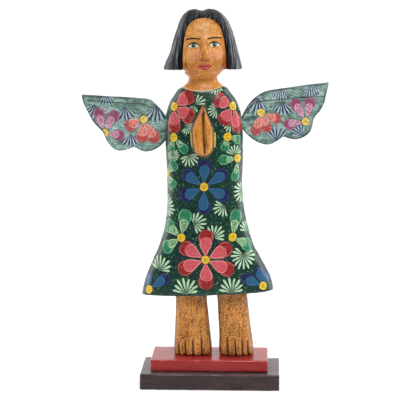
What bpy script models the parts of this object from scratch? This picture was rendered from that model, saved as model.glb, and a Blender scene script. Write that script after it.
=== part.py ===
"""A carved and painted wooden angel on a stepped plinth.

The figure is carved from one block: bobbed head, neck, bell-shaped dress, praying hands in relief and two
bare feet. Two flat wings are let into its sides, and it stands on two stacked boards. Metres, +Z up, the
figure faces -Y. The origin is the middle of the plinth's underside.
"""

import math

import bmesh
import bpy
from mathutils import Vector

# Driving sizes. Everything carved on the figure is a share of its height, as a carver lays out a block.
FIGURE_HEIGHT = 0.347
FIGURE_LEAN_DEG = 2.2
HEAD_TURN_DEG = 5.0
FIGURE_SHIFT = 0.0026

BOARD_EDGE_ROUND = 0.0012
UPPER_BOARD_HEIGHT = 0.0117
UPPER_BOARD_SIDE_MARGIN = 0.0205
UPPER_BOARD_FRONT_MARGIN = 0.018
UPPER_BOARD_BACK_MARGIN = 0.011
UPPER_BOARD_ASIDE = -0.0008
LOWER_BOARD_HEIGHT = 0.0162
LOWER_BOARD_SIDE_LEDGE = 0.0110
LOWER_BOARD_END_LEDGE = 0.007
BOARD_SET_BACK = 0.003

WING_LENGTH = 0.089
WING_THICKNESS = 0.008
WING_EDGE_ROUND = 0.0012
WING_SET_BACK = 0.010
TONGUE_LENGTH = 0.009
TONGUE_HEIGHT = 0.0074
TONGUE_THICKNESS = 0.006

# Neighbours that touch keep this much air, and a tongue has it all round in its mortise.
TOUCH_GAP = 0.0003

# Heights on the figure, as shares of its height.
HEM_HEIGHT = 0.183
NECKLINE_HEIGHT = 0.777
WING_HEIGHT = 0.669
HAIR_HEM_HEIGHT = 0.833
# The face is an even, calm one: eyes half way up the head, the rest by thirds from hairline to chin.
HAIRLINE_HEIGHT = 0.980
CHIN_HEIGHT = 0.802
FACE_THIRD = (HAIRLINE_HEIGHT - CHIN_HEIGHT) / 3
EYE_HEIGHT = (1.0 + CHIN_HEIGHT) / 2
BROW_HEIGHT = CHIN_HEIGHT + 2 * FACE_THIRD
NOSE_BASE_HEIGHT = CHIN_HEIGHT + FACE_THIRD
MOUTH_HEIGHT = NOSE_BASE_HEIGHT - FACE_THIRD / 3

# The dress from hem to neckline: height, half width, half depth and how far its middle sways aside.
DRESS_SECTIONS = [
    (HEM_HEIGHT, 0.1900, 0.068, -0.0075),
    (0.232, 0.1700, 0.067, -0.0070),
    (0.284, 0.1475, 0.065, -0.0060),
    (0.350, 0.1255, 0.062, -0.0040),
    (0.430, 0.1090, 0.059, -0.0020),
    (0.515, 0.1070, 0.058, -0.0015),
    (0.610, 0.1075, 0.058, -0.0010),
    (0.677, 0.1060, 0.056, -0.0005),
    (0.720, 0.0995, 0.053, 0.0000),
    (0.748, 0.0860, 0.049, 0.0000),
    (0.766, 0.0705, 0.045, 0.0000),
    (NECKLINE_HEIGHT, 0.0605, 0.042, 0.0000),
]
# The neck flares down onto the shoulders and runs up into the head.
NECK_SECTIONS = [
    (0.755, 0.0600, 0.040),
    (NECKLINE_HEIGHT, 0.0580, 0.040),
    (0.786, 0.0475, 0.037),
    (0.797, 0.0385, 0.034),
    (0.808, 0.0362, 0.033),
    (0.830, 0.038, 0.034),
    (0.860, 0.040, 0.034),
]
# The face and skull: height, half width and how far the middle of the face stands forward.
HEAD_SECTIONS = [
    (0.8005, 0.020, 0.030),
    (0.8055, 0.032, 0.044),
    (0.8150, 0.044, 0.054),
    (0.8310, 0.0560, 0.0585),
    (0.8500, 0.0625, 0.0595),
    (0.8750, 0.0655, 0.0595),
    (0.9050, 0.0660, 0.0600),
    (0.9300, 0.0635, 0.0595),
    (0.9520, 0.0560, 0.0550),
    (0.9700, 0.0430, 0.0450),
    (0.9810, 0.0280, 0.0340),
]
HEAD_BACK_DEPTH = 0.045
# Soft hills and hollows of the face: rise, height, reach up and down, place aside and reach aside.
FACE_HILLS = [
    (-0.0050, EYE_HEIGHT, 0.0090, 0.0290, 0.0150),
    (0.0022, BROW_HEIGHT, 0.0070, 0.0, 0.0450),
    (0.0042, MOUTH_HEIGHT, 0.0080, 0.0, 0.0180),
    (0.0030, CHIN_HEIGHT + 0.016, 0.0100, 0.0, 0.0150),
]
# The nose, a wedge from the brow to its base: rise and half width at either end.
NOSE_TOP = (0.0035, 0.0085)
NOSE_BASE = (0.0170, 0.0160)
NOSE_UNDERSIDE = 0.25
# The bobbed hair: height, half width, front depth and back depth.
HAIR_SECTIONS = [
    (HAIR_HEM_HEIGHT, 0.1100, 0.050, 0.068),
    (0.868, 0.0990, 0.053, 0.071),
    (0.902, 0.0890, 0.056, 0.072),
    (0.937, 0.0790, 0.058, 0.071),
    (0.961, 0.0700, 0.057, 0.066),
    (0.975, 0.0610, 0.053, 0.059),
    (0.986, 0.0500, 0.045, 0.049),
    (0.9950, 0.0350, 0.032, 0.035),
    (1.0000, 0.0170, 0.016, 0.018),
]
HAIR_LOCKS = 26
HAIR_LOCK_DEPTH = 0.0030
PARTING_DEPTH = 0.0065
PARTING_HALF_WIDTH = 0.013
# The opening that frames the face: height and half width, rounding over below the parting.
FACE_OPENING = [
    (0.815, 0.0625),
    (0.865, 0.0615),
    (0.890, 0.0590),
    (0.917, 0.0555),
    (0.940, 0.0500),
    (0.950, 0.0467),
    (0.960, 0.0410),
    (0.968, 0.0330),
    (0.975, 0.0220),
    (HAIRLINE_HEIGHT, 0.0060),
]
FACE_OPENING_FLOOR = 0.026
# The praying hands in front view: height and half width, and how far they stand off the chest.
HANDS_SECTIONS = [
    (0.586, 0.0040, 0.008),
    (0.592, 0.0175, 0.014),
    (0.599, 0.0270, 0.019),
    (0.625, 0.0305, 0.021),
    (0.664, 0.0312, 0.022),
    (0.680, 0.0252, 0.021),
    (0.708, 0.0122, 0.017),
    (0.732, 0.0030, 0.008),
]
HANDS_BACK_DEPTH = 0.030
HANDS_GROOVE_DEPTH = 0.010
HANDS_GROOVE_HALF_WIDTH = 0.16
# Each leg widens down to its toes: height, half width, front depth and back depth.
FOOT_HALF_WIDTH, FOOT_FRONT, FOOT_BACK = 0.0530, 0.0465, 0.0480
LEG_SECTIONS = [
    (-0.012, 0.0500, 0.042, 0.047),
    (0.006, 0.0525, 0.046, FOOT_BACK),
    (0.018, FOOT_HALF_WIDTH, FOOT_FRONT, 0.047),
    (0.034, 0.0520, 0.044, 0.045),
    (0.055, 0.0500, 0.038, 0.042),
    (0.080, 0.0480, 0.033, 0.040),
    (0.120, 0.0455, 0.031, 0.038),
    (0.165, 0.0420, 0.030, 0.038),
    (0.230, 0.0400, 0.030, 0.038),
]
# Middle of each leg and its width beside the drawn one.
LEGS = {"left": (-0.0586, 1.03), "right": (0.0651, 0.92)}
TOE_SHARES = (0.26, 0.23, 0.20, 0.17, 0.14)
TOE_GROOVE_HEIGHT = 0.060
TOE_GROOVE_DEPTH = 0.0090
TOE_GROOVE_WIDTH = 0.0080

# Each wing's edge by hand, as shares of its length outward and up from its root. The first run goes from the
# tip along the top, round the root and under the inner lobe. The second rounds the outer lobe to the tip.
WING_RUNS = {
    "left": (
        [
            (0.997, 0.385), (0.644, 0.352), (0.292, 0.318), (0.216, 0.281), (0.142, 0.204), (0.092, 0.140),
            (0.050, 0.050), (0.040, -0.070), (0.122, -0.184), (0.203, -0.243), (0.308, -0.271),
            (0.376, -0.249), (0.436, -0.209),
        ],
        [
            (0.436, -0.209), (0.497, -0.236), (0.585, -0.252), (0.653, -0.224), (0.711, -0.165),
            (0.752, -0.103), (0.782, -0.010), (0.848, 0.065), (0.912, 0.163), (0.969, 0.276),
            (0.997, 0.385),
        ],
    ),
    "right": (
        [
            (1.012, 0.428), (0.761, 0.406), (0.452, 0.369), (0.322, 0.350), (0.226, 0.296), (0.156, 0.229),
            (0.101, 0.154), (0.042, 0.036), (0.060, -0.045), (0.143, -0.140), (0.210, -0.194),
            (0.296, -0.233), (0.381, -0.227), (0.512, -0.149),
        ],
        [
            (0.512, -0.149), (0.554, -0.171), (0.640, -0.188), (0.726, -0.161), (0.789, -0.112),
            (0.824, -0.043), (0.835, 0.026), (0.871, 0.083), (0.925, 0.169), (0.965, 0.252),
            (1.012, 0.428),
        ],
    ),
}
WING_ROOT_INSIDE = 0.885

# How square the level sections are, 2 being an ellipse.
DRESS_CORNER = 2.5
NECK_CORNER = 2.2
HEAD_CORNER = 2.4
HAIR_CORNER = 2.2
LEG_CORNER = 2.9

UPPER_BOARD_TOP = LOWER_BOARD_HEIGHT + TOUCH_GAP + UPPER_BOARD_HEIGHT
SOLE_HEIGHT = UPPER_BOARD_TOP + TOUCH_GAP
# The boards are cut to the feet: a margin round them, and a ledge round the upper board.
STANCE = max(abs(middle) + wide * FOOT_HALF_WIDTH for middle, wide in LEGS.values()) * FIGURE_HEIGHT
FOOT_LENGTH = (FOOT_FRONT + FOOT_BACK) * FIGURE_HEIGHT
UPPER_BOARD_WIDTH = 2 * (STANCE + UPPER_BOARD_SIDE_MARGIN - FIGURE_SHIFT)
UPPER_BOARD_DEPTH = FOOT_LENGTH + UPPER_BOARD_FRONT_MARGIN + UPPER_BOARD_BACK_MARGIN
LOWER_BOARD_WIDTH = UPPER_BOARD_WIDTH + 2 * LOWER_BOARD_SIDE_LEDGE
LOWER_BOARD_DEPTH = UPPER_BOARD_DEPTH + 2 * LOWER_BOARD_END_LEDGE
UPPER_BOARD_FRONT = BOARD_SET_BACK - UPPER_BOARD_DEPTH / 2
FIGURE_MIDDLE_Y = UPPER_BOARD_FRONT + UPPER_BOARD_FRONT_MARGIN + FOOT_FRONT * FIGURE_HEIGHT


def clear_scene():
    for item in list(bpy.data.objects):
        bpy.data.objects.remove(item, do_unlink=True)


def paint(name, colour, roughness):
    """A varnished paint: one Principled BSDF."""
    material = bpy.data.materials.new(name)
    material.use_nodes = True
    shader = material.node_tree.nodes["Principled BSDF"]
    shader.inputs["Base Color"].default_value = (*colour, 1.0)
    shader.inputs["Roughness"].default_value = roughness
    shader.inputs["Metallic"].default_value = 0.0
    return material


def new_object(name, bm, parent=None, helper=False):
    """Makes the bmesh an object. A helper only cuts or joins, so it stays out of the render."""
    bmesh.ops.recalc_face_normals(bm, faces=bm.faces)
    mesh = bpy.data.meshes.new(name)
    bm.to_mesh(mesh)
    bm.free()
    item = bpy.data.objects.new(name, mesh)
    bpy.context.scene.collection.objects.link(item)
    item.parent = parent
    if helper:
        item.hide_render = True
        item.display_type = "WIRE"
    return item


def join(target, other, operation="UNION"):
    step = target.modifiers.new(f"{operation.lower()} {other.name}", "BOOLEAN")
    step.operation = operation
    step.solver = "EXACT"
    step.object = other


def smooth_between(rows, height):
    """Each value of a table of sections at this height, on a smooth curve through its rows."""
    last = len(rows) - 1
    height = min(max(height, rows[0][0]), rows[last][0])
    i = max(k for k in range(last) if rows[k][0] <= height)
    low, high = rows[i], rows[i + 1]
    before, after = rows[max(i - 1, 0)], rows[min(i + 2, last)]
    span = high[0] - low[0]
    t = (height - low[0]) / span
    values = []
    for k in range(1, len(low)):
        start = (high[k] - before[k]) / (high[0] - before[0]) * span
        end = (after[k] - low[k]) / (after[0] - low[0]) * span
        rise = high[k] - low[k]
        values.append(
            low[k] + t * start + t * t * (3 * rise - 2 * start - end) + t**3 * (start + end - 2 * rise)
        )
    return values


def heights_between(rows, count):
    """Evenly spaced heights with the table's first and last row as the ends."""
    low, high = rows[0][0], rows[-1][0]
    return [low + (high - low) * i / (count - 1) for i in range(count)]


def even_turn(count):
    """Angles all round, starting at +X."""
    return [2 * math.pi * i / count for i in range(count)]


def turn_towards_front(back_count, front_count):
    """Angles all round, close together on the front half, where the carving is."""
    back = [math.pi * i / back_count for i in range(back_count)]
    return back + [math.pi * (1 + i / front_count) for i in range(front_count)]


def rounded_section(half_width, front, back, height, corner, angles, middle=0.0):
    """A level ring, square-shouldered as corner grows past 2, its front towards -Y."""
    ring = []
    for angle in angles:
        c, s = math.cos(angle), math.sin(angle)
        x = half_width * math.copysign(abs(c) ** (2 / corner), c)
        depth = back if s > 0 else front
        y = depth * math.copysign(abs(s) ** (2 / corner), s)
        ring.append(Vector((middle + x, y, height)))
    return ring


def loft(rings):
    """A closed skin over level rings, in figure shares scaled to metres."""
    bm = bmesh.new()
    loops = []
    for ring in rings:
        verts = [bm.verts.new(point * FIGURE_HEIGHT) for point in ring]
        loops.append([bm.edges.new((verts[i - 1], verts[i])) for i in range(len(verts))])
    for lower, upper in zip(loops, loops[1:]):
        bmesh.ops.bridge_loops(bm, edges=lower + upper)
    bmesh.ops.holes_fill(bm, edges=[edge for edge in bm.edges if edge.is_boundary], sides=0)
    return bm


def slab(outline, front_y, thickness):
    """A flat board of this (x, z) outline, from its front towards +Y."""
    bm = bmesh.new()
    front = bm.faces.new([bm.verts.new((x, front_y, z)) for x, z in outline])
    swept = bmesh.ops.extrude_face_region(bm, geom=[front])["geom"]
    moved = [item for item in swept if isinstance(item, bmesh.types.BMVert)]
    bmesh.ops.translate(bm, vec=(0, thickness, 0), verts=moved)
    return bm


def dress_rings(spare=0.0):
    """The dress, or with spare the space that a wing has to stay out of."""
    rings = []
    for height in heights_between(DRESS_SECTIONS, 21):
        half_width, depth, sway = smooth_between(DRESS_SECTIONS, height)
        ring = rounded_section(
            half_width + spare, depth + spare, depth + spare, height, DRESS_CORNER, even_turn(40), sway
        )
        rings.append(ring)
    return rings


def make_neck(axis):
    rings = []
    for height in heights_between(NECK_SECTIONS, 9):
        half_width, depth = smooth_between(NECK_SECTIONS, height)
        rings.append(rounded_section(half_width, depth, depth, height, NECK_CORNER, even_turn(24)))
    return new_object("neck", loft(rings), axis, helper=True)


def bump(distance, reach):
    """A soft hill, one at the middle and nearly zero past its reach."""
    return math.exp(-((distance / reach) ** 2))


def face_relief(x, height):
    """How far the carved features stand off the plain egg of the head."""
    relief = 0.0
    for rise, middle, reach_up, aside, reach_aside in FACE_HILLS:
        relief += rise * bump(height - middle, reach_up) * bump(abs(x) - aside, reach_aside)
    along = (BROW_HEIGHT - height) / (BROW_HEIGHT - NOSE_BASE_HEIGHT)
    if 0.0 <= along <= 1.0 + NOSE_UNDERSIDE:
        share = min(along, 1.0)
        rise, half_width = [low + (high - low) * share for low, high in zip(NOSE_TOP, NOSE_BASE)]
        below = 1.0 - max(0.0, along - 1.0) / NOSE_UNDERSIDE
        relief += rise * below * max(0.0, 1.0 - (abs(x) / half_width) ** HEAD_CORNER)
    return relief


def make_head(pivot):
    rings = []
    for height in heights_between(HEAD_SECTIONS, 27):
        half_width, front = smooth_between(HEAD_SECTIONS, height)
        back = min(HEAD_BACK_DEPTH, front)
        ring = rounded_section(half_width, front, back, height, HEAD_CORNER, turn_towards_front(8, 36))
        for point in ring:
            if point.y < 0:
                point.y -= face_relief(point.x, height) * min(1.0, -point.y / (0.7 * front))
        rings.append(ring)
    return new_object("head", loft(rings), pivot, helper=True)


def make_face_opening(pivot):
    """The arch that the hair leaves free, as a prism from the front to its floor."""
    right = [(smooth_between(FACE_OPENING, z)[0], z) for z in heights_between(FACE_OPENING, 16)]
    outline = [(x * FIGURE_HEIGHT, z * FIGURE_HEIGHT) for x, z in right]
    outline += [(-x, z) for x, z in reversed(outline)]
    clear_of_hair = 2 * max(row[2] for row in HAIR_SECTIONS) * FIGURE_HEIGHT
    floor = FACE_OPENING_FLOOR * FIGURE_HEIGHT
    bm = slab(outline, -clear_of_hair, clear_of_hair - floor)
    return new_object("face_opening", bm, pivot, helper=True)


def make_hair(pivot):
    """A bell of locks, dished along the parting and cut off level at the hem."""
    angles = even_turn(4 * HAIR_LOCKS)
    rings = []
    for height in [row[0] for row in HAIR_SECTIONS]:
        half_width, front, back = smooth_between(HAIR_SECTIONS, height)
        ring = rounded_section(half_width, front, back, height, HAIR_CORNER, angles)
        near_top = 1.0 - (height - HAIR_HEM_HEIGHT) / (1.0 - HAIR_HEM_HEIGHT)
        for angle, point in zip(angles, ring):
            groove = (0.5 - 0.5 * math.cos(HAIR_LOCKS * angle)) ** 2
            cut = HAIR_LOCK_DEPTH * groove * min(1.0, 0.35 + near_top)
            out = Vector((point.x, point.y, 0)).normalized()
            point -= out * cut
            rise = max(0.0, (height - 0.93) / 0.07)
            point.z -= PARTING_DEPTH * rise * bump(point.x, PARTING_HALF_WIDTH)
        rings.append(ring)
    hair = new_object("hair", loft(rings), pivot, helper=True)
    join(hair, make_face_opening(pivot), "DIFFERENCE")
    return hair


def make_hands(axis):
    """Two palms together: a tall leaf on the chest with a groove down its middle."""
    across = [-1.0, -0.85, -0.6, -0.35, -0.14, 0.0, 0.14, 0.35, 0.6, 0.85, 1.0]
    rings = []
    for height in heights_between(HANDS_SECTIONS, 17):
        half_width, stand_off = smooth_between(HANDS_SECTIONS, height)
        chest = smooth_between(DRESS_SECTIONS, height)[1]
        front = []
        for share in across:
            crown = (1.0 - abs(share) ** 4) ** 0.5
            groove = HANDS_GROOVE_DEPTH * bump(share, HANDS_GROOVE_HALF_WIDTH)
            y = -(chest + stand_off * (0.25 + 0.75 * crown) - groove)
            front.append(Vector((share * half_width, y, height)))
        back = [Vector((share * half_width, -HANDS_BACK_DEPTH, height)) for share in (1.0, 0.0, -1.0)]
        rings.append(front + back)
    return new_object("hands", loft(rings), axis, helper=True)


def make_leg(axis, side):
    middle, wide = LEGS[side]
    rings = []
    for height in heights_between(LEG_SECTIONS, 15):
        half_width, front, back = smooth_between(LEG_SECTIONS, height)
        rings.append(
            rounded_section(half_width * wide, front, back, height, LEG_CORNER, even_turn(28), middle)
        )
    return new_object(f"leg_{side}", loft(rings), axis, helper=True)


def toe_groove_places(side):
    """Where the four cuts lie across a foot, the big toe being the inner one."""
    middle, wide = LEGS[side]
    inward = 1 if side == "left" else -1
    half = FOOT_HALF_WIDTH * wide
    places, done = [], 0.0
    for share in TOE_SHARES[:-1]:
        done += share
        places.append(middle + inward * half * (1.0 - 2.0 * done))
    return places


def make_toe_grooves(axis, side):
    """V-shaped gouge cuts that open to the front and run out upwards."""
    bm = bmesh.new()
    for x in toe_groove_places(side):
        middle, wide = LEGS[side]
        off_middle = abs(x - middle) / (FOOT_HALF_WIDTH * wide)
        front = -FOOT_FRONT * (1 - off_middle**LEG_CORNER) ** (1 / LEG_CORNER)
        width = TOE_GROOVE_WIDTH
        corners = [
            (x - width, front - TOE_GROOVE_DEPTH, -0.03),
            (x + width, front - TOE_GROOVE_DEPTH, -0.03),
            (x, front + TOE_GROOVE_DEPTH, -0.03),
        ]
        base = [bm.verts.new(Vector(corner) * FIGURE_HEIGHT) for corner in corners]
        top = bm.verts.new(Vector((x, front - TOE_GROOVE_DEPTH / 2, TOE_GROOVE_HEIGHT)) * FIGURE_HEIGHT)
        bm.faces.new(base)
        for i in range(3):
            bm.faces.new((base[i - 1], base[i], top))
    return new_object(f"toe_grooves_{side}", bm, axis, helper=True)


def box(name, low, high, parent=None, helper=False):
    bm = bmesh.new()
    bmesh.ops.create_cube(bm, size=1.0)
    size = Vector(high) - Vector(low)
    bmesh.ops.scale(bm, vec=size, verts=bm.verts)
    bmesh.ops.translate(bm, vec=(Vector(high) + Vector(low)) / 2, verts=bm.verts)
    return new_object(name, bm, parent, helper)


def wing_root():
    """Where a wing's own zero lies on the figure: just inside the side of the dress."""
    half_width = smooth_between(DRESS_SECTIONS, WING_HEIGHT)[0]
    return WING_ROOT_INSIDE * half_width * FIGURE_HEIGHT, WING_HEIGHT * FIGURE_HEIGHT


def tongue(name, side, spare, axis):
    """The tongue of a wing, or with spare the mortise that it sits in."""
    root, height = wing_root()
    inner, outer = root - TONGUE_LENGTH - spare, root + TONGUE_LENGTH + spare
    x = sorted((side * inner, side * outer))
    half_height = TONGUE_HEIGHT / 2 + spare
    half_thick = TONGUE_THICKNESS / 2 + spare
    low = (x[0], WING_SET_BACK - half_thick, height - half_height)
    high = (x[1], WING_SET_BACK + half_thick, height + half_height)
    return box(name, low, high, axis, helper=True)


def rounded_run(points, steps=2):
    """Points on a smooth curve through these ones, with the ends kept."""
    curve = []
    for i in range(len(points) - 1):
        before, low, high = points[max(i - 1, 0)], points[i], points[i + 1]
        after = points[min(i + 2, len(points) - 1)]
        for step in range(steps):
            t = step / steps
            weights = (
                -t / 2 + t * t - t**3 / 2,
                1 - 2.5 * t * t + 1.5 * t**3,
                t / 2 + 2 * t * t - 1.5 * t**3,
                -t * t / 2 + t**3 / 2,
            )
            curve.append(tuple(
                sum(weight * near for weight, near in zip(weights, nearby))
                for nearby in zip(before, low, high, after)
            ))
    return curve + [points[-1]]


def make_wing(side, name, axis, finish):
    root, height = wing_root()
    outline = []
    for run in WING_RUNS[name.removeprefix("wing_")]:
        outline += [
            (side * (root + x * WING_LENGTH), height + z * WING_LENGTH) for x, z in rounded_run(run)[:-1]
        ]
    bm = slab(outline, WING_SET_BACK - WING_THICKNESS / 2, WING_THICKNESS)
    rims = [edge for edge in bm.edges if abs(edge.verts[0].co.y - edge.verts[1].co.y) < TOUCH_GAP]
    bmesh.ops.bevel(
        bm, geom=rims, offset=WING_EDGE_ROUND, affect="EDGES", segments=2, profile=0.5, material=-1
    )
    wing = new_object(name, bm, axis)
    wing.data.materials.append(finish)
    body_space = new_object(
        f"dress_space_{name}", loft(dress_rings(TOUCH_GAP / FIGURE_HEIGHT)), axis, helper=True
    )
    join(wing, body_space, "DIFFERENCE")
    join(wing, tongue(f"tongue_{name}", side, 0.0, axis))
    return wing


def make_figure(axis, pivot, finish):
    figure = new_object("figure", loft(dress_rings()), axis)
    figure.data.materials.append(finish)
    join(figure, make_neck(axis))
    join(figure, make_hair(pivot))
    join(figure, make_head(pivot))
    join(figure, make_hands(axis))
    for side in LEGS:
        leg = make_leg(axis, side)
        join(leg, make_toe_grooves(axis, side), "DIFFERENCE")
        join(figure, leg)
    for side, name in ((-1, "left"), (1, "right")):
        join(figure, tongue(f"mortise_{name}", side, TOUCH_GAP, axis), "DIFFERENCE")
    reach = FIGURE_HEIGHT / 2
    below = box("sole_cut", (-reach, -reach, -reach), (reach, reach, SOLE_HEIGHT), helper=True)
    join(figure, below, "DIFFERENCE")
    return figure


def make_board(name, size, middle, bottom, finish):
    width, depth, height = size
    x, y = middle
    low = (x - width / 2, y - depth / 2, bottom)
    board = box(name, low, (x + width / 2, y + depth / 2, bottom + height))
    board.data.materials.append(finish)
    rounding = board.modifiers.new("rounded edges", "BEVEL")
    rounding.width = BOARD_EDGE_ROUND
    rounding.segments = 2
    return board


def make_part():
    clear_scene()
    figure_paint = paint("figure_paint", (0.030, 0.110, 0.075), 0.32)
    wing_paint = paint("wing_paint", (0.150, 0.300, 0.230), 0.35)
    red_paint = paint("red_paint", (0.520, 0.030, 0.030), 0.28)
    dark_stain = paint("dark_stain", (0.045, 0.028, 0.028), 0.45)

    axis = bpy.data.objects.new("figure_axis", None)
    axis.location = (FIGURE_SHIFT, FIGURE_MIDDLE_Y, UPPER_BOARD_TOP)
    axis.rotation_euler = (0.0, -math.radians(FIGURE_LEAN_DEG), 0.0)
    bpy.context.scene.collection.objects.link(axis)
    pivot = bpy.data.objects.new("head_pivot", None)
    pivot.rotation_euler = (0.0, 0.0, math.radians(HEAD_TURN_DEG))
    pivot.parent = axis
    bpy.context.scene.collection.objects.link(pivot)

    lower = (LOWER_BOARD_WIDTH, LOWER_BOARD_DEPTH, LOWER_BOARD_HEIGHT)
    upper = (UPPER_BOARD_WIDTH, UPPER_BOARD_DEPTH, UPPER_BOARD_HEIGHT)
    upper_middle = (UPPER_BOARD_ASIDE, BOARD_SET_BACK)
    make_board("plinth_lower", lower, (0.0, 0.0), 0.0, dark_stain)
    make_board("plinth_upper", upper, upper_middle, LOWER_BOARD_HEIGHT + TOUCH_GAP, red_paint)
    make_figure(axis, pivot, figure_paint)
    make_wing(-1, "wing_left", axis, wing_paint)
    make_wing(1, "wing_right", axis, wing_paint)


make_part()
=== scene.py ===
"""The painted wooden angel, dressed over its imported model: carving, paint, varnish, light and camera."""

import math

import bmesh
import bpy
import numpy as np
from mathutils import Matrix, Vector, noise
from mathutils.kdtree import KDTree


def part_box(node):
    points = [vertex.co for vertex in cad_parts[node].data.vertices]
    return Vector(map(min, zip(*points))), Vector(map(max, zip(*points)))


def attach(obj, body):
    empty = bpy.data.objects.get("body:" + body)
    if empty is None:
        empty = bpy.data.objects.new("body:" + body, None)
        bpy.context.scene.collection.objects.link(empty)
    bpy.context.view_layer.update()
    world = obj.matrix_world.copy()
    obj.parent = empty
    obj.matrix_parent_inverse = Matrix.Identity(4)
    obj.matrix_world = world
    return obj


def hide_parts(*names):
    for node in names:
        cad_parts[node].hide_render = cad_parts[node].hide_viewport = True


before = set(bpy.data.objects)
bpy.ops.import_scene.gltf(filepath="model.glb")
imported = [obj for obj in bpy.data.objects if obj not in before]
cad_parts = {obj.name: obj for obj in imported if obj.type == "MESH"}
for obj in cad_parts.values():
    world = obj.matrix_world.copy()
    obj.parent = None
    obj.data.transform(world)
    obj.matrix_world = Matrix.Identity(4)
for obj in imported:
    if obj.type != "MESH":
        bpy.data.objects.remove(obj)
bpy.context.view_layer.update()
mm = 0.001

# The camera stands straight in front of the angel, a little to its left and above the middle of the dress.
# One millimetre on the figure is close to one pixel of the 400 x 400 picture.
camera_azimuth = math.radians(2.4)
camera_elevation = math.radians(8.1)
camera_distance = 1690 * mm
camera_target = Vector((-11.1, 0.0, 185.8)) * mm
picture_side = 400 * mm

back_to_camera = Vector((
    math.sin(camera_azimuth) * math.cos(camera_elevation),
    -math.cos(camera_azimuth) * math.cos(camera_elevation),
    math.sin(camera_elevation),
))
camera = bpy.data.objects.new("camera", bpy.data.cameras.new("camera"))
camera.data.sensor_width = 36.0
camera.data.lens = camera.data.sensor_width * camera_distance / picture_side
camera.location = camera_target + back_to_camera * camera_distance
camera.rotation_euler = (-back_to_camera).to_track_quat("-Z", "Y").to_euler()
bpy.context.scene.collection.objects.link(camera)
bpy.context.scene.camera = camera


# The figure is one block of pinewood: hair, face, neck, dress, praying hands, legs and bare feet. It is carved
# with knife and gouge, sanded, painted by hand with acrylics and varnished. It leans a little to the viewer's
# left and its head is turned a little to the viewer's right.
lean = math.radians(2.2)
head_turn = math.radians(5.0)
block_height = 347 * mm
foot_behind_edge = 18 * mm
foot_front = 16.1 * mm
upper_low, upper_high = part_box("plinth_upper")
foot_of_axis = Vector((2.6 * mm, upper_low.y + foot_behind_edge + foot_front, upper_high.z))
block_to_world = Matrix.Translation(foot_of_axis) @ Matrix.Rotation(-lean, 4, "Y")
world_to_block = block_to_world.inverted()

hem_height = 63.5 * mm
neckline_height = 271.5 * mm
neckline_dip = 4.4 * mm
neckline_half_width = 20 * mm
hair_hem_height = 289.1 * mm
hands_outline = [
    (203.4, 1.4), (205.4, 6.1), (207.9, 9.4), (217, 10.6), (230.4, 10.8), (236, 8.7), (245.7, 4.2), (254, 1.0),
]
opening_outline = [
    (283, 21.7), (300, 21.4), (309, 20.5), (318, 19.3), (326.2, 17.4),
    (329.7, 16.2), (332.9, 14.2), (335.5, 11.5), (337.6, 7.4), (339.1, 2.1),
]
opening_floor = 9.0 * mm
leg_middles = {"left": -20.3 * mm, "right": 22.6 * mm}
leg_half_widths = {"left": 18.9 * mm, "right": 16.9 * mm}
toe_shares = (0.26, 0.23, 0.20, 0.17)


def carving_blank(node, net):
    """A copy of the solid as an even net of small faces, ready for the knife."""
    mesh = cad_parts[node].data.copy()
    bm = bmesh.new()
    bm.from_mesh(mesh)
    bmesh.ops.remove_doubles(bm, verts=bm.verts, dist=1e-6)
    bm.to_mesh(mesh)
    bm.free()
    rough = bpy.data.objects.new(node + "_rough", mesh)
    bpy.context.scene.collection.objects.link(rough)
    remesh = rough.modifiers.new("even net", "REMESH")
    remesh.mode = "VOXEL"
    remesh.voxel_size = net
    evaluated = rough.evaluated_get(bpy.context.evaluated_depsgraph_get())
    bm = bmesh.new()
    bm.from_mesh(evaluated.to_mesh())
    bpy.data.objects.remove(rough)
    return bm


def places(bm):
    """Every vertex's place as one array, seen in the block's own upright frame."""
    turn = np.array(world_to_block)
    return np.array([vert.co for vert in bm.verts]) @ turn[:3, :3].T + turn[:3, 3]


def hill(distance, reach):
    """One at no distance, fading to nothing past the reach."""
    return np.exp(-((distance / reach) ** 2))


def read_outline(outline, height):
    """Half width at each height of an outline given in millimetres."""
    heights, half_widths = zip(*outline)
    return np.interp(height / mm, heights, half_widths) * mm


def head_places(block_places):
    c, s = math.cos(-head_turn), math.sin(-head_turn)
    turned = block_places.copy()
    turned[:, 0] = c * block_places[:, 0] - s * block_places[:, 1]
    turned[:, 1] = s * block_places[:, 0] + c * block_places[:, 1]
    return turned


def hands_depth(at):
    """How far inside the outline of the hands a place lies, below zero outside."""
    across = read_outline(hands_outline, at[:, 2]) - np.abs(at[:, 0])
    low, high = hands_outline[0][0] * mm, hands_outline[-1][0] * mm
    within = np.minimum(at[:, 2] - low, high - at[:, 2])
    in_front = -at[:, 1] - 8 * mm
    return np.minimum(np.minimum(across * 0.8, within), in_front)


def hair_depth(head):
    """How far inside the hair a place lies, below zero on skin."""
    above_hem = head[:, 2] - hair_hem_height + 0.7 * mm
    across = read_outline(opening_outline, head[:, 2]) - np.abs(head[:, 0])
    below_top = (opening_outline[-1][0] * mm - head[:, 2]) * 0.7
    in_front = -head[:, 1] - opening_floor + 0.5 * mm
    opening = np.minimum(np.minimum(across, below_top), in_front)
    return np.minimum(above_hem, -opening)


def dress_depth(at):
    """How far inside the dress a place lies, below zero on skin."""
    dip = neckline_dip * np.clip(1 - (at[:, 0] / neckline_half_width) ** 2, 0, 1)
    below_neckline = neckline_height - np.where(at[:, 1] < 0, dip, 0) - at[:, 2]
    above_hem = at[:, 2] - hem_height + 0.8 * mm
    return np.minimum(np.minimum(below_neckline, above_hem), -hands_depth(at))


def sand(bm, verts, strokes):
    for stroke in range(strokes):
        bmesh.ops.smooth_vert(bm, verts=verts, factor=0.5, use_axis_x=True, use_axis_y=True, use_axis_z=True)


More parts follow.
